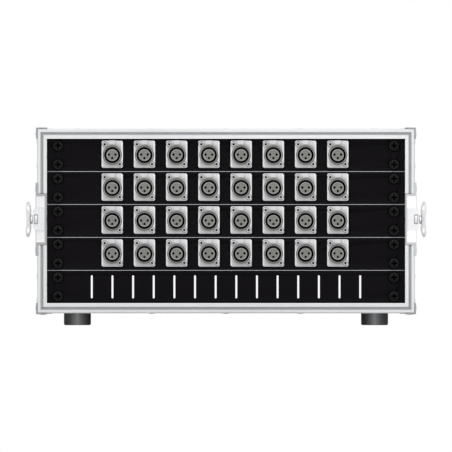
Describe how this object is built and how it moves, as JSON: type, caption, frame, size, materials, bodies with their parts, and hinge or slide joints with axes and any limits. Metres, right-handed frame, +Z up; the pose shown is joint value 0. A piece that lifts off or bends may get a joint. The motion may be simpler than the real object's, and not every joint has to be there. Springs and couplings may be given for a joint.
{
  "type": "audio patch bay",
  "caption": "Rack case with twist latches and rubber feet, holding black panels of three-pin audio sockets with release tabs above a slotted vent panel.",
  "frame": {"origin": "on the surface that the feet stand on, under the middle of the case", "axes": "+Z up, -Y out of the front panels, +X to the right as seen from the front"},
  "size_m": [0.5408, 0.3, 0.2673],
  "materials": {
    "board_laminate": "pale grey laminate",
    "rim_aluminium": "satin anodised",
    "zinc_steel": "zinc plated",
    "latch_zinc": "bright zinc",
    "rivet_aluminium": "bright",
    "foot_rubber": "moulded",
    "rail_steel": "zinc plated",
    "panel_black": "satin black powder coat",
    "nickel": "satin nickel plate",
    "insert_grey": "moulded",
    "contact_plate": "silver plated",
    "screw_black": "black oxide"
  },
  "bodies": {
    "case": {"top_board": "board_laminate", "bottom_board": "board_laminate", "left_board": "board_laminate", "right_board": "board_laminate", "front_rim": "rim_aluminium", "rear_rim": "rim_aluminium", "edge_angles": "rim_aluminium", "corner_braces": "zinc_steel", "case_fasteners": "rivet_aluminium", "rubber_feet": "foot_rubber", "rack_rails": "rail_steel", "latch_dishes": "zinc_steel", "latch_housings": "latch_zinc", "patch_panel_1": "panel_black", "patch_panel_2": "panel_black", "patch_panel_3": "panel_black", "patch_panel_4": "panel_black", "vent_panel": "panel_black", "connector_shells": "nickel", "connector_inserts": "insert_grey", "socket_contacts": "contact_plate", "flange_screws": "nickel", "rack_screws": "screw_black", "cup_washers": "screw_black"},
    "latch_left": {"latch_handle_left": "latch_zinc"},
    "latch_right": {"latch_handle_right": "latch_zinc"},
    "hook_left": {"latch_hook_left": "zinc_steel"},
    "hook_right": {"latch_hook_right": "zinc_steel"},
    "tab_r1_c1": {"release_tab_r1_c1": "nickel"},
    "tab_r1_c2": {"release_tab_r1_c2": "nickel"},
    "tab_r1_c3": {"release_tab_r1_c3": "nickel"},
    "tab_r1_c4": {"release_tab_r1_c4": "nickel"},
    "tab_r1_c5": {"release_tab_r1_c5": "nickel"},
    "tab_r1_c6": {"release_tab_r1_c6": "nickel"},
    "tab_r1_c7": {"release_tab_r1_c7": "nickel"},
    "tab_r1_c8": {"release_tab_r1_c8": "nickel"},
    "tab_r2_c1": {"release_tab_r2_c1": "nickel"},
    "tab_r2_c2": {"release_tab_r2_c2": "nickel"},
    "tab_r2_c3": {"release_tab_r2_c3": "nickel"},
    "tab_r2_c4": {"release_tab_r2_c4": "nickel"},
    "tab_r2_c5": {"release_tab_r2_c5": "nickel"},
    "tab_r2_c6": {"release_tab_r2_c6": "nickel"},
    "tab_r2_c7": {"release_tab_r2_c7": "nickel"},
    "tab_r2_c8": {"release_tab_r2_c8": "nickel"},
    "tab_r3_c1": {"release_tab_r3_c1": "nickel"},
    "tab_r3_c2": {"release_tab_r3_c2": "nickel"},
    "tab_r3_c3": {"release_tab_r3_c3": "nickel"},
    "tab_r3_c4": {"release_tab_r3_c4": "nickel"},
    "tab_r3_c5": {"release_tab_r3_c5": "nickel"},
    "tab_r3_c6": {"release_tab_r3_c6": "nickel"},
    "tab_r3_c7": {"release_tab_r3_c7": "nickel"},
    "tab_r3_c8": {"release_tab_r3_c8": "nickel"},
    "tab_r4_c1": {"release_tab_r4_c1": "nickel"},
    "tab_r4_c2": {"release_tab_r4_c2": "nickel"},
    "tab_r4_c3": {"release_tab_r4_c3": "nickel"},
    "tab_r4_c4": {"release_tab_r4_c4": "nickel"},
    "tab_r4_c5": {"release_tab_r4_c5": "nickel"},
    "tab_r4_c6": {"release_tab_r4_c6": "nickel"},
    "tab_r4_c7": {"release_tab_r4_c7": "nickel"},
    "tab_r4_c8": {"release_tab_r4_c8": "nickel"}
  },
  "joints": [
    {"name": "latch_turn_left", "type": "hinge", "parent": "case", "child": "latch_left", "pos_m": [-0.266, -0.115, 0.14283], "axis": [1, 0, 0], "range_deg": [0, 180]},
    {"name": "latch_turn_right", "type": "hinge", "parent": "case", "child": "latch_right", "pos_m": [0.266, -0.115, 0.14283], "axis": [1, 0, 0], "range_deg": [0, 180]},
    {"name": "latch_hook_left", "type": "slide", "parent": "case", "child": "hook_left", "axis": [0, -1, 0], "range_m": [0, 0.0088]},
    {"name": "latch_hook_right", "type": "slide", "parent": "case", "child": "hook_right", "axis": [0, -1, 0], "range_m": [0, 0.0088]},
    {"name": "release_r1_c1", "type": "slide", "parent": "case", "child": "tab_r1_c1", "axis": [0, 1, 0], "range_m": [0, 0.0015], "stiffness_N_per_m": 500, "springref_m": -0.003},
    {"name": "release_r1_c2", "type": "slide", "parent": "case", "child": "tab_r1_c2", "axis": [0, 1, 0], "range_m": [0, 0.0015], "stiffness_N_per_m": 500, "springref_m": -0.003},
    {"name": "release_r1_c3", "type": "slide", "parent": "case", "child": "tab_r1_c3", "axis": [0, 1, 0], "range_m": [0, 0.0015], "stiffness_N_per_m": 500, "springref_m": -0.003},
    {"name": "release_r1_c4", "type": "slide", "parent": "case", "child": "tab_r1_c4", "axis": [0, 1, 0], "range_m": [0, 0.0015], "stiffness_N_per_m": 500, "springref_m": -0.003},
    {"name": "release_r1_c5", "type": "slide", "parent": "case", "child": "tab_r1_c5", "axis": [0, 1, 0], "range_m": [0, 0.0015], "stiffness_N_per_m": 500, "springref_m": -0.003},
    {"name": "release_r1_c6", "type": "slide", "parent": "case", "child": "tab_r1_c6", "axis": [0, 1, 0], "range_m": [0, 0.0015], "stiffness_N_per_m": 500, "springref_m": -0.003},
    {"name": "release_r1_c7", "type": "slide", "parent": "case", "child": "tab_r1_c7", "axis": [0, 1, 0], "range_m": [0, 0.0015], "stiffness_N_per_m": 500, "springref_m": -0.003},
    {"name": "release_r1_c8", "type": "slide", "parent": "case", "child": "tab_r1_c8", "axis": [0, 1, 0], "range_m": [0, 0.0015], "stiffness_N_per_m": 500, "springref_m": -0.003},
    {"name": "release_r2_c1", "type": "slide", "parent": "case", "child": "tab_r2_c1", "axis": [0, 1, 0], "range_m": [0, 0.0015], "stiffness_N_per_m": 500, "springref_m": -0.003},
    {"name": "release_r2_c2", "type": "slide", "parent": "case", "child": "tab_r2_c2", "axis": [0, 1, 0], "range_m": [0, 0.0015], "stiffness_N_per_m": 500, "springref_m": -0.003},
    {"name": "release_r2_c3", "type": "slide", "parent": "case", "child": "tab_r2_c3", "axis": [0, 1, 0], "range_m": [0, 0.0015], "stiffness_N_per_m": 500, "springref_m": -0.003},
    {"name": "release_r2_c4", "type": "slide", "parent": "case", "child": "tab_r2_c4", "axis": [0, 1, 0], "range_m": [0, 0.0015], "stiffness_N_per_m": 500, "springref_m": -0.003},
    {"name": "release_r2_c5", "type": "slide", "parent": "case", "child": "tab_r2_c5", "axis": [0, 1, 0], "range_m": [0, 0.0015], "stiffness_N_per_m": 500, "springref_m": -0.003},
    {"name": "release_r2_c6", "type": "slide", "parent": "case", "child": "tab_r2_c6", "axis": [0, 1, 0], "range_m": [0, 0.0015], "stiffness_N_per_m": 500, "springref_m": -0.003},
    {"name": "release_r2_c7", "type": "slide", "parent": "case", "child": "tab_r2_c7", "axis": [0, 1, 0], "range_m": [0, 0.0015], "stiffness_N_per_m": 500, "springref_m": -0.003},
    {"name": "release_r2_c8", "type": "slide", "parent": "case", "child": "tab_r2_c8", "axis": [0, 1, 0], "range_m": [0, 0.0015], "stiffness_N_per_m": 500, "springref_m": -0.003},
    {"name": "release_r3_c1", "type": "slide", "parent": "case", "child": "tab_r3_c1", "axis": [0, 1, 0], "range_m": [0, 0.0015], "stiffness_N_per_m": 500, "springref_m": -0.003},
    {"name": "release_r3_c2", "type": "slide", "parent": "case", "child": "tab_r3_c2", "axis": [0, 1, 0], "range_m": [0, 0.0015], "stiffness_N_per_m": 500, "springref_m": -0.003},
    {"name": "release_r3_c3", "type": "slide", "parent": "case", "child": "tab_r3_c3", "axis": [0, 1, 0], "range_m": [0, 0.0015], "stiffness_N_per_m": 500, "springref_m": -0.003},
    {"name": "release_r3_c4", "type": "slide", "parent": "case", "child": "tab_r3_c4", "axis": [0, 1, 0], "range_m": [0, 0.0015], "stiffness_N_per_m": 500, "springref_m": -0.003},
    {"name": "release_r3_c5", "type": "slide", "parent": "case", "child": "tab_r3_c5", "axis": [0, 1, 0], "range_m": [0, 0.0015], "stiffness_N_per_m": 500, "springref_m": -0.003},
    {"name": "release_r3_c6", "type": "slide", "parent": "case", "child": "tab_r3_c6", "axis": [0, 1, 0], "range_m": [0, 0.0015], "stiffness_N_per_m": 500, "springref_m": -0.003},
    {"name": "release_r3_c7", "type": "slide", "parent": "case", "child": "tab_r3_c7", "axis": [0, 1, 0], "range_m": [0, 0.0015], "stiffness_N_per_m": 500, "springref_m": -0.003},
    {"name": "release_r3_c8", "type": "slide", "parent": "case", "child": "tab_r3_c8", "axis": [0, 1, 0], "range_m": [0, 0.0015], "stiffness_N_per_m": 500, "springref_m": -0.003},
    {"name": "release_r4_c1", "type": "slide", "parent": "case", "child": "tab_r4_c1", "axis": [0, 1, 0], "range_m": [0, 0.0015], "stiffness_N_per_m": 500, "springref_m": -0.003},
    {"name": "release_r4_c2", "type": "slide", "parent": "case", "child": "tab_r4_c2", "axis": [0, 1, 0], "range_m": [0, 0.0015], "stiffness_N_per_m": 500, "springref_m": -0.003},
    {"name": "release_r4_c3", "type": "slide", "parent": "case", "child": "tab_r4_c3", "axis": [0, 1, 0], "range_m": [0, 0.0015], "stiffness_N_per_m": 500, "springref_m": -0.003},
    {"name": "release_r4_c4", "type": "slide", "parent": "case", "child": "tab_r4_c4", "axis": [0, 1, 0], "range_m": [0, 0.0015], "stiffness_N_per_m": 500, "springref_m": -0.003},
    {"name": "release_r4_c5", "type": "slide", "parent": "case", "child": "tab_r4_c5", "axis": [0, 1, 0], "range_m": [0, 0.0015], "stiffness_N_per_m": 500, "springref_m": -0.003},
    {"name": "release_r4_c6", "type": "slide", "parent": "case", "child": "tab_r4_c6", "axis": [0, 1, 0], "range_m": [0, 0.0015], "stiffness_N_per_m": 500, "springref_m": -0.003},
    {"name": "release_r4_c7", "type": "slide", "parent": "case", "child": "tab_r4_c7", "axis": [0, 1, 0], "range_m": [0, 0.0015], "stiffness_N_per_m": 500, "springref_m": -0.003},
    {"name": "release_r4_c8", "type": "slide", "parent": "case", "child": "tab_r4_c8", "axis": [0, 1, 0], "range_m": [0, 0.0015], "stiffness_N_per_m": 500, "springref_m": -0.003}
  ],
  "couplings": [
    {"joint": "latch_hook_left", "follows": "latch_turn_left", "m_per_rad": 0.0028},
    {"joint": "latch_hook_right", "follows": "latch_turn_right", "m_per_rad": 0.0028}
  ]
}
